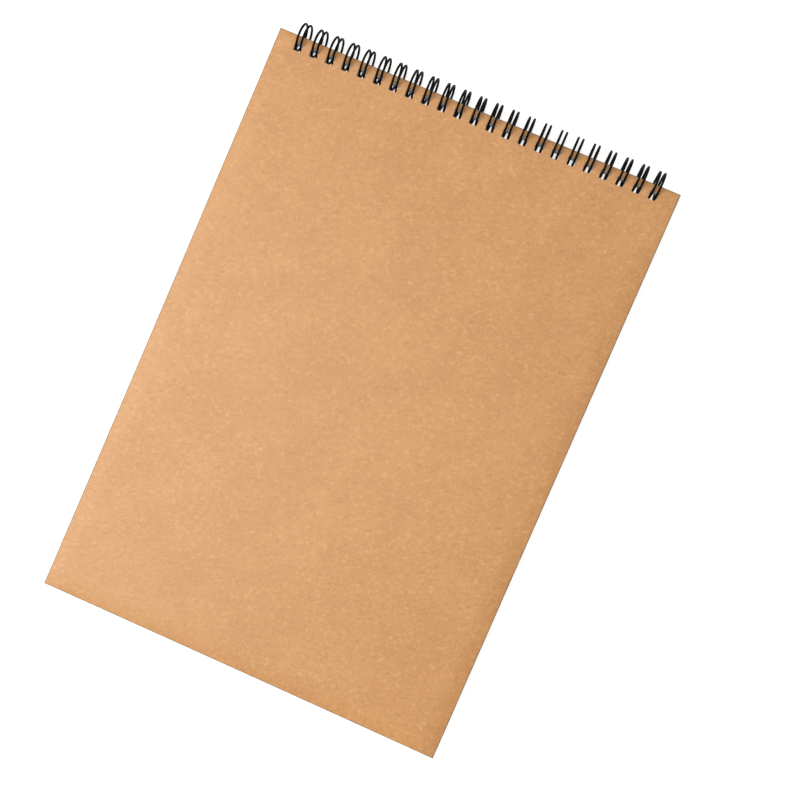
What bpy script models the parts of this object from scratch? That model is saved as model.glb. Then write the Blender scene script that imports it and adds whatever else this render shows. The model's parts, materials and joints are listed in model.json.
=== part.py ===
# Wire-bound sketchbook, A4 upright: two kraft board covers, twenty loose drawing leaves and one
# twin-loop wire along the short top edge. Lengths in metres, +Z up, +X along the spine,
# +Y towards the wire. The wire's lowest point is at z = 0, the middle of the whole book at x = y = 0.
import bpy
import bmesh
from math import asin, cos, pi, sin, sqrt
from mathutils import Vector

# page format
PAGE_WIDTH = 0.210
PAGE_HEIGHT = 0.297

# leaves, from the bottom of the closed book upwards
SHEETS = 20
SHEET_THICKNESS = 0.00021
BACK_THICKNESS = 0.0012
FRONT_THICKNESS = 0.00065
AIR = 0.00004  # between one leaf and the next

# binding wire
LOOPS = 23
PITCH = 0.0254 / 3  # three loops to the inch
WIRE_RADIUS = 0.00055
LOOP_RADIUS = 0.0066  # of the wire's centre line
PAIR_SPACING = 0.0025  # between the two wires of one loop
SEAM_ANGLE = -1.22  # of the straight pieces, round the loop from the leaves' side, under the back cover
TIP_GAP = 0.0003  # from the closed tips to the straight pieces
CORNER_RADIUS = 0.0010  # bend from a straight piece into a loop
STUB = 0.0016  # free end at each end of the wire
ARC_STEPS = 12

# punched holes
HOLE_WIDTH = 0.0042
HOLE_LENGTH = 0.0043
HOLE_MARGIN = 0.0033  # from the top edge of a leaf to its holes
HOLE_CLEARANCE = 0.0013  # between a hole's side and the wire where it passes closest

# Heights are measured from the loops' axis, which the closed book is centred on.
PAGES = SHEETS * (SHEET_THICKNESS + AIR)
HALF_BOOK = (BACK_THICKNESS + AIR + PAGES + FRONT_THICKNESS) / 2
PAGES_BOTTOM = -HALF_BOOK + BACK_THICKNESS + AIR
TIP_ANGLE = SEAM_ANGLE + 2 * pi - 2 * asin((2 * WIRE_RADIUS + TIP_GAP) / 2 / LOOP_RADIUS)

# from the loops' axis to the top edge of every leaf
SPINE_GAP = sqrt((LOOP_RADIUS - WIRE_RADIUS) ** 2 - HALF_BOOK**2) - HOLE_CLEARANCE - HOLE_MARGIN

for old in list(bpy.data.objects):
    bpy.data.objects.remove(old)

book = bpy.data.collections.new("sketchbook")
bpy.context.scene.collection.children.link(book)


def material(name, color, roughness, metallic=0.0):
    made = bpy.data.materials.new(name)
    made.use_nodes = True
    shader = made.node_tree.nodes["Principled BSDF"]
    shader.inputs["Base Color"].default_value = (*color, 1.0)
    shader.inputs["Roughness"].default_value = roughness
    shader.inputs["Metallic"].default_value = metallic
    return made


def add_outline(curve, corners):
    spline = curve.splines.new("POLY")
    spline.points.add(len(corners) - 1)
    for point, (x, y) in zip(spline.points, corners):
        point.co = (x, y, 0.0, 1.0)
    spline.use_cyclic_u = True


def rectangle(x_low, x_high, y_low, y_high):
    return [(x_low, y_low), (x_high, y_low), (x_high, y_high), (x_low, y_high)]


def loop_x(number):
    return (number - (LOOPS - 1) / 2) * PITCH


def leaf(name, bottom, thickness, look):
    """A punched leaf whose origin is on the loops' axis. bottom is its underside's height from that axis."""
    outline = bpy.data.curves.new(name, "CURVE")
    outline.dimensions = "2D"
    outline.fill_mode = "BOTH"
    outline.extrude = thickness / 2
    top_edge = -SPINE_GAP
    add_outline(
        outline,
        rectangle(-PAGE_WIDTH / 2, PAGE_WIDTH / 2, top_edge - PAGE_HEIGHT, top_edge),
    )
    hole_top = top_edge - HOLE_MARGIN
    for number in range(LOOPS):
        x = loop_x(number)
        add_outline(outline, rectangle(x - HOLE_WIDTH / 2, x + HOLE_WIDTH / 2, hole_top - HOLE_LENGTH, hole_top))
    flat = bpy.data.objects.new(name + "_outline", outline)
    bpy.context.scene.collection.objects.link(flat)
    bpy.context.view_layer.update()
    shape = bpy.data.meshes.new_from_object(flat.evaluated_get(bpy.context.evaluated_depsgraph_get()))
    bpy.data.objects.remove(flat)
    solid = bmesh.new()
    solid.from_mesh(shape)
    bmesh.ops.remove_doubles(solid, verts=solid.verts, dist=0.00001)
    bmesh.ops.translate(solid, verts=solid.verts, vec=(0.0, 0.0, bottom + thickness / 2))
    bmesh.ops.recalc_face_normals(solid, faces=solid.faces)
    solid.to_mesh(shape)
    solid.free()
    shape.name = name
    shape.materials.clear()
    shape.materials.append(look)
    made = bpy.data.objects.new(name, shape)
    book.objects.link(made)
    return made


def on_loop(x, angle):
    """A point of the wire's centre line, angle measured from the leaves' side (-Y), upwards positive."""
    return (x, -LOOP_RADIUS * cos(angle), LOOP_RADIUS * sin(angle))


def leg(x, side):
    """One wire of a loop, from the seam up through the holes, over and round the outside to its tip."""
    corner = CORNER_RADIUS / LOOP_RADIUS
    straight = SEAM_ANGLE + corner
    tip_start = TIP_ANGLE - PAIR_SPACING / 2 / LOOP_RADIUS
    points = [
        on_loop(x + side * CORNER_RADIUS, SEAM_ANGLE),
        on_loop(x + side * CORNER_RADIUS * (1 - cos(pi / 4)), SEAM_ANGLE + corner * (1 - sin(pi / 4))),
    ]
    for step in range(ARC_STEPS + 1):
        points.append(on_loop(x, straight + (tip_start - straight) * step / ARC_STEPS))
    return points


def binding_wire(look):
    """The wire as one continuous run: out along a loop's first wire, round its tip, back, and on to the next."""
    half = PAIR_SPACING / 2
    tip_middle = TIP_ANGLE - half / LOOP_RADIUS
    route = [on_loop(loop_x(0) - half - CORNER_RADIUS - STUB, SEAM_ANGLE)]
    for number in range(LOOPS):
        x = loop_x(number)
        route += leg(x - half, -1)
        for turn in (pi / 4, pi / 2, 3 * pi / 4):
            route.append(on_loop(x - half * cos(turn), tip_middle + half / LOOP_RADIUS * sin(turn)))
        route += reversed(leg(x + half, 1))
    route.append(on_loop(loop_x(LOOPS - 1) + half + CORNER_RADIUS + STUB, SEAM_ANGLE))
    curve = bpy.data.curves.new("binding_wire", "CURVE")
    curve.dimensions = "3D"
    curve.bevel_depth = WIRE_RADIUS
    curve.bevel_resolution = 1
    curve.use_fill_caps = True
    spline = curve.splines.new("POLY")
    spline.points.add(len(route) - 1)
    for point, place in zip(spline.points, route):
        point.co = (*place, 1.0)
    spline.use_smooth = True
    curve.materials.append(look)
    made = bpy.data.objects.new("binding_wire", curve)
    book.objects.link(made)
    return made


kraft = material("kraft_board", (0.66, 0.42, 0.22), 0.85)
grey_board = material("backing_board", (0.62, 0.40, 0.21), 0.88)
coated_wire = material("coated_wire", (0.015, 0.014, 0.014), 0.35)

leaf("back_cover", -HALF_BOOK, BACK_THICKNESS, grey_board)
for count in range(SHEETS):
    name = f"sheet_{SHEETS - count:02d}"
    paper = material(name + "_paper", (0.90, 0.89, 0.86), 0.9)
    leaf(name, PAGES_BOTTOM + count * (SHEET_THICKNESS + AIR), SHEET_THICKNESS, paper)
leaf("front_cover", PAGES_BOTTOM + SHEETS * (SHEET_THICKNESS + AIR), FRONT_THICKNESS, kraft)
wire = binding_wire(coated_wire)

# every piece was made about the loops' axis, and is lifted until the wire stands on z = 0
bpy.context.view_layer.update()
wire_mesh = wire.evaluated_get(bpy.context.evaluated_depsgraph_get()).to_mesh()
lowest = min(point.co.z for point in wire_mesh.vertices)
outermost = max(point.co.y for point in wire_mesh.vertices)
axis = Vector((0.0, (PAGE_HEIGHT + SPINE_GAP - outermost) / 2, -lowest))
for piece in book.objects:
    piece.location = axis
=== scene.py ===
# Wire-bound A4 sketchbook: kraft board covers, loose drawing leaves and one coated twin-loop wire.
import json
import random
from math import asin, cos, pi, radians, sin

import bmesh
import bpy
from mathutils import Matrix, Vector


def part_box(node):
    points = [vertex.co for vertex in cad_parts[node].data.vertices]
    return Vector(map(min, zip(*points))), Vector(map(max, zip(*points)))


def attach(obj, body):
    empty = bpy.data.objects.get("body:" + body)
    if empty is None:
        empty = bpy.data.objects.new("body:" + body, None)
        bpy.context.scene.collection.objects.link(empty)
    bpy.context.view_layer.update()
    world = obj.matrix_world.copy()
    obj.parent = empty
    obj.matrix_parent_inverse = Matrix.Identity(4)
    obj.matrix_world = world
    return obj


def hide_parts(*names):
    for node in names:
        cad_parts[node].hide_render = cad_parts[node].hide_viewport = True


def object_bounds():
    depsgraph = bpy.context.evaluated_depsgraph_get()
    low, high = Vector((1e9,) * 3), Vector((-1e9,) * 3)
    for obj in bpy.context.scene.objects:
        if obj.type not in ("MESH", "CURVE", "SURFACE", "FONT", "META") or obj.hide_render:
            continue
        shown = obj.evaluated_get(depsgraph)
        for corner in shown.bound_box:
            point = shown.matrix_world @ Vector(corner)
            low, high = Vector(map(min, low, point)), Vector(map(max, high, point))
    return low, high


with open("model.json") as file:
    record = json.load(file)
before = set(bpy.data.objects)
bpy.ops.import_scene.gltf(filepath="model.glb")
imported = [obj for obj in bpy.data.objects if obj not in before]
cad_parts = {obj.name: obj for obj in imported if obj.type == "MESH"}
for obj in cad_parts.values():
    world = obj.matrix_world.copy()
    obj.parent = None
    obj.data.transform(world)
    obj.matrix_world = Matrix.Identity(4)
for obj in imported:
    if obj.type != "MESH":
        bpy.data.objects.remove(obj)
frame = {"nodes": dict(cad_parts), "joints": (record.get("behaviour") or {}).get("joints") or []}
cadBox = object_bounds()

scene = bpy.context.scene
axisPlace = Vector(frame["joints"][0]["pos_m"])  # a point on the loops' common axis
print("frame loaded:", len(frame["nodes"]), "nodes")

cameraSetup = {
    "place": (0.04503, 0.01808, 0.49555),
    "turn": (-0.6632, 3.4, 23.4766),  # degrees
    "lens": 45.0,
}


def makeCamera(setup):
    lens = bpy.data.cameras.new("camera")
    lens.lens = setup["lens"]
    lens.sensor_width = 36.0
    lens.clip_start = 0.01
    made = bpy.data.objects.new("camera", lens)
    made.location = setup["place"]
    made.rotation_euler = [radians(angle) for angle in setup["turn"]]
    scene.collection.objects.link(made)
    scene.camera = made


makeCamera(cameraSetup)


def addNode(tree, kind, sockets=None, **settings):
    node = tree.nodes.new(kind)
    for name, value in settings.items():
        setattr(node, name, value)
    for name, value in (sockets or {}).items():
        if isinstance(value, bpy.types.NodeSocket):
            tree.links.new(value, node.inputs[name])
        else:
            node.inputs[name].default_value = value
    return node


def calc(tree, operation, first, second=0.0):
    return addNode(tree, "ShaderNodeMath", {0: first, 1: second}, operation=operation).outputs[0]


def tint(tree, amount, first, second):
    return addNode(tree, "ShaderNodeMix", {0: amount, 6: first, 7: second}, data_type="RGBA").outputs[2]


def spread(tree, value, low, high, newLow=0.0, newHigh=1.0):
    sockets = {"Value": value, "From Min": low, "From Max": high, "To Min": newLow, "To Max": newHigh}
    return addNode(tree, "ShaderNodeMapRange", sockets, interpolation_type="SMOOTHSTEP").outputs[0]


def newGroup(name, inputs, outputs):
    group = bpy.data.node_groups.new(name, "ShaderNodeTree")
    for label, kind, value in inputs:
        socket = group.interface.new_socket(label, in_out="INPUT", socket_type=kind)
        if value is not None:
            socket.default_value = value
    for label in outputs:
        group.interface.new_socket(label, in_out="OUTPUT", socket_type="NodeSocketFloat")
    return group, group.nodes.new("NodeGroupInput").outputs, group.nodes.new("NodeGroupOutput").inputs


def newMaterial(name):
    made = bpy.data.materials.new(name)
    made.use_nodes = True
    return made, made.node_tree, made.node_tree.nodes["Principled BSDF"]


def laid(tree, place, turn, along, across):
    grains = {"Vector": place, "Rotation": (0.0, 0.0, radians(turn)), "Scale": (1 / along, 1 / across, 1 / along)}
    return addNode(tree, "ShaderNodeMapping", grains, vector_type="TEXTURE").outputs[0]


def strandLayer(tree, place, turn, along, across, width):  # hairs lying one way, so many to the metre
    fibres = laid(tree, place, turn, along, across)
    waves = addNode(tree, "ShaderNodeTexNoise", {"Vector": fibres, "Scale": 1.0, "Detail": 1.0, "Distortion": 0.35})
    line = calc(tree, "ABSOLUTE", calc(tree, "SUBTRACT", waves.outputs[0], 0.5))
    hair = spread(tree, line, 0.0, width, 1.0, 0.0)
    gaps = addNode(tree, "ShaderNodeTexNoise", {"Vector": fibres, "Scale": 0.9, "Detail": 0.0})
    return calc(tree, "MULTIPLY", hair, spread(tree, gaps.outputs[0], 0.55, 0.62))


pulpGrain = {"clouds": 42.0, "fine": 620.0, "tooth": 2600.0, "chips": 260.0, "chipPatches": 95.0}  # to the metre
streakLay = (17.0, 420.0, 560.0)  # turn in degrees, then streaks to the metre along and across
hairLayers = {  # the same for the single hairs
    "Dark Hairs": ((12.0, 300.0, 1500.0), (101.0, 330.0, 1400.0), (57.0, 360.0, 1300.0)),
    "Pale Hairs": ((146.0, 280.0, 1300.0), (31.0, 340.0, 1500.0), (78.0, 300.0, 1200.0)),
}


def makePulpGroup():
    group, given, result = newGroup(
        "pulp",
        [("Vector", "NodeSocketVector", None), ("Hair Width", "NodeSocketFloat", 0.03)],
        ["Clouds", "Streaks", "Grain", "Tooth", "Dark Hairs", "Pale Hairs", "Specks"],
    )
    place, width = given["Vector"], given["Hair Width"]
    for label, laying, scale, detail, rough in (
        ("Clouds", place, pulpGrain["clouds"], 3.0, 0.55),
        ("Streaks", laid(group, place, *streakLay), 1.0, 3.0, 0.65),
        ("Grain", place, pulpGrain["fine"], 4.0, 0.7),
        ("Tooth", place, pulpGrain["tooth"], 2.0, 0.6),
    ):
        sockets = {"Vector": laying, "Scale": scale, "Detail": detail, "Roughness": rough}
        group.links.new(addNode(group, "ShaderNodeTexNoise", sockets).outputs[0], result[label])
    for label, layers in hairLayers.items():
        first, second, third = (strandLayer(group, place, *layer, width) for layer in layers)
        group.links.new(calc(group, "MAXIMUM", calc(group, "MAXIMUM", first, second), third), result[label])
    chips = addNode(group, "ShaderNodeTexVoronoi", {"Vector": place, "Scale": pulpGrain["chips"]})
    rare = addNode(group, "ShaderNodeTexNoise", {"Vector": place, "Scale": pulpGrain["chipPatches"], "Detail": 1.0})
    speck = spread(group, chips.outputs["Distance"], 0.05, 0.11, 1.0, 0.0)
    speck = calc(group, "MULTIPLY", speck, spread(group, rare.outputs[0], 0.56, 0.62))
    group.links.new(speck, result["Specks"])
    return group


pulpGroup = makePulpGroup()


def makeBoard(name, look):
    made, tree, shader = newMaterial(name)
    place = addNode(tree, "ShaderNodeTexCoord").outputs["Object"]
    pulp = addNode(tree, "ShaderNodeGroup", node_tree=pulpGroup)
    tree.links.new(place, pulp.inputs["Vector"])
    pulp.inputs["Hair Width"].default_value = look["hairWidth"]
    out = pulp.outputs
    base = tint(tree, spread(tree, out["Clouds"], 0.3, 0.7), look["deep"], look["pale"])
    for layer, low, high, amount, color in (
        ("Streaks", 0.46, 0.32, "streaks", "shade"), ("Streaks", 0.54, 0.70, "streaks", "glint"),
        ("Grain", 0.42, 0.30, "grain", "shade"), ("Grain", 0.55, 0.68, "grain", "glint"),
    ):
        base = tint(tree, spread(tree, out[layer], low, high, 0.0, look[amount]), base, look[color])
    for layer, amount, color in (
        ("Dark Hairs", "darkHairs", "shade"), ("Pale Hairs", "paleHairs", "glint"),
        ("Specks", "specks", "speckColor"),
    ):
        base = tint(tree, calc(tree, "MULTIPLY", out[layer], look[amount]), base, look[color])
    tree.links.new(base, shader.inputs["Base Color"])
    rough = spread(tree, out["Grain"], 0.35, 0.65, look["rough"][0], look["rough"][1])
    tree.links.new(rough, shader.inputs["Roughness"])
    shader.inputs["Specular IOR Level"].default_value = look["gloss"]
    relief = calc(tree, "ADD", out["Grain"], calc(tree, "MULTIPLY", out["Tooth"], look["tooth"]))
    relief = calc(tree, "ADD", relief, calc(tree, "MULTIPLY", out["Pale Hairs"], look["hairRelief"]))
    bump = addNode(tree, "ShaderNodeBump", {"Height": relief, "Distance": look["relief"], "Strength": 0.6})
    tree.links.new(bump.outputs[0], shader.inputs["Normal"])
    return made


kraftCover = {
    "deep": (0.500, 0.223, 0.064, 1.0), "pale": (0.540, 0.252, 0.077, 1.0),
    "shade": (0.37, 0.162, 0.046, 1.0), "glint": (0.70, 0.40, 0.155, 1.0),
    "speckColor": (0.25, 0.12, 0.05, 1.0),
    "streaks": 0.42, "grain": 0.38, "darkHairs": 0.30, "paleHairs": 0.30, "specks": 0.5, "hairWidth": 0.03,
    "rough": (0.43, 0.55), "gloss": 0.85, "tooth": 0.5, "hairRelief": 0.6, "relief": 0.00008,
}
# painted shade: the front cover's cut faces and outer rim are near-black, a dark line of painted shade along its
# edges
kraftEdgePaintedShade = dict(kraftCover, deep=(0.085, 0.072, 0.045, 1.0), pale=(0.13, 0.105, 0.065, 1.0), grain=0.25,
                 darkHairs=0.15, paleHairs=0.15)
backBoard = dict(kraftCover, deep=(0.43, 0.22, 0.095, 1.0), pale=(0.49, 0.26, 0.12, 1.0), grain=0.40,
                 specks=0.7)
backEdge = dict(backBoard, deep=(0.38, 0.21, 0.10, 1.0), pale=(0.47, 0.27, 0.14, 1.0), grain=0.55)
whitePaper = {
    "deep": (0.70, 0.695, 0.67, 1.0), "pale": (0.74, 0.735, 0.715, 1.0),
    "shade": (0.58, 0.57, 0.53, 1.0), "glint": (0.80, 0.80, 0.785, 1.0),
    "speckColor": (0.56, 0.53, 0.46, 1.0),
    "streaks": 0.08, "grain": 0.24, "darkHairs": 0.06, "paleHairs": 0.10, "specks": 0.12, "hairWidth": 0.025,
    "rough": (0.80, 0.92), "gloss": 0.35, "tooth": 0.9, "hairRelief": 0.2, "relief": 0.00010,
}
# painted light: the leaves' cut faces and hole walls are a lighter copy of the paper, paper colour with painted
# light added so the shaded hole walls read white
paperEdgePaintedLight = dict(whitePaper, grain=0.35, deep=(0.80, 0.79, 0.76, 1.0), pale=(0.88, 0.875, 0.85, 1.0))

boards = {
    "front": makeBoard("kraftCover", kraftCover), "frontEdgePaintedShade": makeBoard("kraftEdgePaintedShade", kraftEdgePaintedShade),
    "back": makeBoard("backBoard", backBoard), "backEdge": makeBoard("backEdge", backEdge),
    "paper": makeBoard("drawingPaper", whitePaper), "paperEdgePaintedLight": makeBoard("paperEdgePaintedLight", paperEdgePaintedLight),
}
print("papers and boards mixed")

wireCoating = {
    "dark": (0.0025, 0.0018, 0.0015, 1.0), "worn": (0.006, 0.004, 0.003, 1.0),
    "rough": (0.45, 0.60), "gloss": 0.08, "ripple": 0.00002,
}


def makeCoating(look):
    made, tree, shader = newMaterial("wireCoating")
    place = addNode(tree, "ShaderNodeTexCoord").outputs["Object"]
    patches = addNode(tree, "ShaderNodeTexNoise", {"Vector": place, "Scale": 900.0, "Detail": 3.0}).outputs[0]
    ripple = addNode(tree, "ShaderNodeTexNoise", {"Vector": place, "Scale": 2500.0, "Detail": 1.0}).outputs[0]
    tree.links.new(tint(tree, spread(tree, patches, 0.5, 0.75), look["dark"], look["worn"]),
                   shader.inputs["Base Color"])
    tree.links.new(spread(tree, patches, 0.3, 0.7, *look["rough"]), shader.inputs["Roughness"])
    shader.inputs["Specular IOR Level"].default_value = look["gloss"]
    bump = addNode(tree, "ShaderNodeBump", {"Height": ripple, "Distance": look["ripple"], "Strength": 0.5})
    tree.links.new(bump.outputs[0], shader.inputs["Normal"])
    return made


def makeCutSteel():
    made, tree, shader = newMaterial("cutSteel")
    place = addNode(tree, "ShaderNodeTexCoord").outputs["Object"]
    marks = addNode(tree, "ShaderNodeTexNoise", {"Vector": place, "Scale": 6000.0, "Detail": 2.0}).outputs[0]
    tree.links.new(tint(tree, marks, (0.34, 0.33, 0.32, 1.0), (0.60, 0.59, 0.57, 1.0)), shader.inputs["Base Color"])
    shader.inputs["Metallic"].default_value = 1.0
    tree.links.new(spread(tree, marks, 0.3, 0.7, 0.3, 0.55), shader.inputs["Roughness"])
    return made


coating = makeCoating(wireCoating)
cutSteel = makeCutSteel()
print("wire coating mixed")

punching = {
    "loops": 23, "pitch": 0.0254 / 3,  # three loops to the inch
    "width": 0.0042, "length": 0.0043, "margin": 0.0033,
    "corner": 0.00035,  # rounding of the punched holes' corners
}


def holeX(number):
    return (number - (punching["loops"] - 1) / 2) * punching["pitch"]


def punchedLeaf(name, node, face, edge, body, rows=24, shift=(0.0, 0.0), trim=0.0, soften=0.0, bend=None):
    low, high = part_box(node)
    half = punching["width"] / 2
    columns = [low.x - trim]
    for number in range(punching["loops"]):
        columns += [holeX(number) - half, holeX(number) + half]
    columns.append(high.x + trim)
    holeTop = high.y - punching["margin"]
    holeEnd = holeTop - punching["length"]
    lines = [high.y, holeTop, holeEnd]
    lines += [holeEnd + (low.y - trim - holeEnd) * step / rows for step in range(1, rows + 1)]
    mesh = bmesh.new()
    grid = [[mesh.verts.new((x, y, low.z)) for x in columns] for y in lines]
    for row in range(len(lines) - 1):
        for column in range(len(columns) - 1):
            if row == 1 and column % 2 == 1:
                continue  # a punched hole
            corners = (grid[row][column], grid[row + 1][column], grid[row + 1][column + 1], grid[row][column + 1])
            mesh.faces.new(corners)
    thick = high.z - low.z
    raised = bmesh.ops.extrude_face_region(mesh, geom=mesh.faces[:])["geom"]
    bmesh.ops.translate(mesh, verts=[v for v in raised if isinstance(v, bmesh.types.BMVert)], vec=(0, 0, thick))
    bmesh.ops.recalc_face_normals(mesh, faces=mesh.faces)
    upright = []
    for line in mesh.edges:
        a, b = (v.co for v in line.verts)
        insideHoles = holeEnd - 1e-6 <= a.y <= holeTop + 1e-6 and abs(a.x) < high.x - 0.001
        if abs(a.z - b.z) > thick / 2 and insideHoles:
            upright.append(line)
    bmesh.ops.bevel(mesh, geom=upright, offset=punching["corner"], segments=3, profile=0.5, affect="EDGES")
    if soften:
        rims = []
        for line in mesh.edges:
            a, b = (v.co for v in line.verts)
            outside = max(abs(a.x + b.x) / 2 - high.x, (a.y + b.y) / 2 - high.y, low.y - (a.y + b.y) / 2)
            if min(a.z, b.z) > high.z - thick / 2 and abs(outside) < 1e-6:
                rims.append(line)
        bmesh.ops.bevel(mesh, geom=rims, offset=soften, segments=2, profile=0.5, affect="EDGES")
    mesh.normal_update()
    for part in mesh.faces:
        part.smooth = True
        part.material_index = 1 if abs(part.normal.z) < 0.97 else 0  # cut faces and the rim take the second material: painted shade on the front cover, painted light on the leaves
    for point in mesh.verts:
        place = point.co
        if bend:
            place.z += bend((place.x - low.x) / (high.x - low.x), (high.y - place.y) / (high.y - low.y))
        place.x += shift[0]
        place.y += shift[1]
    data = bpy.data.meshes.new(name)
    mesh.to_mesh(data)
    mesh.free()
    data.set_sharp_from_angle(angle=radians(40))
    data.materials.append(face)
    data.materials.append(edge)
    made = bpy.data.objects.new(name, data)
    scene.collection.objects.link(made)
    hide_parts(node)
    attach(made, body)
    return made


coverCurl = {"left": 0.0021, "right": 0.0009}  # how far the free corners stand up


def curl(across, down):
    lifted = coverCurl["left"] * (1 - across) ** 1.5 + coverCurl["right"] * across**1.5
    return lifted * down**3


# the front cover's cut faces and rim carry the painted edge shade
punchedLeaf("frontCover", "front_cover", boards["front"], boards["frontEdgePaintedShade"], "cover",
            rows=30, soften=0.00045, bend=curl)
punchedLeaf("backCover", "back_cover", boards["back"], boards["backEdge"], "back",
            rows=24, soften=0.00010)
leafSlack = {"sideways": 0.00012, "lengthways": 0.00018, "trim": 0.00008}  # how unevenly the leaves hang and are cut
chance = random.Random(11)
for number in range(1, 21):
    slack = [leafSlack[k] * (2 * chance.random() - 1) for k in ("sideways", "lengthways", "trim")]
    # the leaves' cut faces and hole walls carry the painted light
    punchedLeaf(f"leaf{number:02d}", f"sheet_{number:02d}", boards["paper"], boards["paperEdgePaintedLight"],
                f"leaf_{number:02d}", rows=6, shift=slack[:2], trim=slack[2])
print("covers and leaves cut and punched")

bindingWire = {
    "thickness": 0.00116, "loopRadius": 0.0066, "pairSpacing": 0.0025, "cornerRadius": 0.0010,
    "seam": -1.22,  # turn round the loop, from the leaves' side, at which the wire runs straight on
    "tipGap": 0.0003, "stub": 0.0016, "steps": 44, "sides": 5, "wobble": 0.00005,
}


def wireRoute(look):
    radius, half, corner = look["loopRadius"], look["pairSpacing"] / 2, look["cornerRadius"]
    seam = look["seam"]
    cornerTurn = corner / radius
    tip = seam + 2 * pi - 2 * asin((look["thickness"] + look["tipGap"]) / 2 / radius)
    tipStart = tip - half / radius

    def onLoop(x, angle):
        return Vector((x, -radius * cos(angle), radius * sin(angle)))

    def leg(x, side):
        points = []
        for step in range(7):
            turn = pi / 2 * step / 6
            points.append(onLoop(x + side * corner * (1 - sin(turn)), seam + cornerTurn * (1 - cos(turn))))
        for step in range(1, look["steps"] + 1):
            points.append(onLoop(x, seam + cornerTurn + (tipStart - seam - cornerTurn) * step / look["steps"]))
        return points

    luck = random.Random(5)
    route = [onLoop(holeX(0) - half - corner - look["stub"], seam)]
    for number in range(punching["loops"]):
        x = holeX(number) + look["wobble"] * (2 * luck.random() - 1)
        route += leg(x - half, -1)
        for step in range(1, 12):
            turn = pi * step / 12
            route.append(onLoop(x - half * cos(turn), tipStart + half / radius * sin(turn)))
        route += reversed(leg(x + half, 1))
    route.append(onLoop(holeX(punching["loops"] - 1) + half + corner + look["stub"], seam))
    return route


def makeWire(look):
    curve = bpy.data.curves.new("bindingWire", "CURVE")
    curve.dimensions = "3D"
    curve.bevel_depth = look["thickness"] / 2
    curve.bevel_resolution = look["sides"]
    curve.use_fill_caps = True
    spline = curve.splines.new("POLY")
    route = wireRoute(look)
    spline.points.add(len(route) - 1)
    for point, place in zip(spline.points, route):
        point.co = (*(place + Vector((0.0, axisPlace.y, axisPlace.z))), 1.0)
    drawn = bpy.data.objects.new("wireDrawn", curve)
    scene.collection.objects.link(drawn)
    bpy.context.view_layer.update()
    data = bpy.data.meshes.new_from_object(drawn.evaluated_get(bpy.context.evaluated_depsgraph_get()))
    bpy.data.objects.remove(drawn)
    data.name = "bindingWire"
    data.materials.clear()
    data.materials.append(coating)
    data.materials.append(cutSteel)
    for face in data.polygons:
        face.use_smooth = len(face.vertices) == 4
        face.material_index = 0 if len(face.vertices) == 4 else 1
    made = bpy.data.objects.new("bindingWire", data)
    scene.collection.objects.link(made)
    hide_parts("binding_wire")
    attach(made, "back")


makeWire(bindingWire)
print("wire bent and closed")

studio = {
    "floor": (0.50, 0.50, 0.50, 1.0), "floorSize": 30.0,
    "floorGlow": 0.72,  # light coming up through the table
    "air": 0.44,
    "key": {"place": (-0.78, -0.30, 1.20), "size": 1.4, "watts": 20.5, "color": (1.0, 0.975, 0.90)},
    "fill": {"place": (0.80, 0.55, 1.40), "size": 1.2, "watts": 1.5, "color": (1.0, 1.0, 1.0)},
    "top": {"place": (0.0, 0.1, 1.9), "size": 1.6, "watts": 4.0, "color": (1.0, 1.0, 1.0)},
}


def makeFloor(look):
    mesh = bmesh.new()
    bmesh.ops.create_circle(mesh, cap_ends=True, segments=96, radius=look["floorSize"])
    data = bpy.data.meshes.new("floor")
    mesh.to_mesh(data)
    mesh.free()
    made, tree, shader = newMaterial("studioFloor")
    place = addNode(tree, "ShaderNodeTexCoord").outputs["Object"]
    mottle = addNode(tree, "ShaderNodeTexNoise", {"Vector": place, "Scale": 3.0, "Detail": 2.0}).outputs[0]
    paler = tuple(c * 1.01 for c in look["floor"][:3]) + (1.0,)
    tree.links.new(tint(tree, mottle, look["floor"], paler), shader.inputs["Base Color"])
    shader.inputs["Roughness"].default_value = 0.95
    shader.inputs["Specular IOR Level"].default_value = 0.1
    shader.inputs["Emission Color"].default_value = (1.0, 1.0, 1.0, 1.0)
    shader.inputs["Emission Strength"].default_value = look["floorGlow"]
    data.materials.append(made)
    floor = bpy.data.objects.new("floor", data)
    floor.location.z = cadBox[0][2] - 0.0001
    scene.collection.objects.link(floor)


def makeLight(name, look):
    lamp = bpy.data.lights.new(name, "AREA")
    lamp.shape = "DISK"
    lamp.size = look["size"]
    lamp.energy = look["watts"]
    lamp.color = look["color"]
    made = bpy.data.objects.new(name, lamp)
    made.location = look["place"]
    made.rotation_euler = (-Vector(look["place"])).to_track_quat("-Z", "Y").to_euler()
    scene.collection.objects.link(made)


makeFloor(studio)
for lightName in ("key", "fill", "top"):
    makeLight(lightName, studio[lightName])
world = bpy.data.worlds.new("studio")
world.use_nodes = True
world.node_tree.nodes["Background"].inputs["Color"].default_value = (1.0, 1.0, 1.0, 1.0)
world.node_tree.nodes["Background"].inputs["Strength"].default_value = studio["air"]
scene.world = world
scene.view_settings.view_transform = "Standard"
print("studio lit")
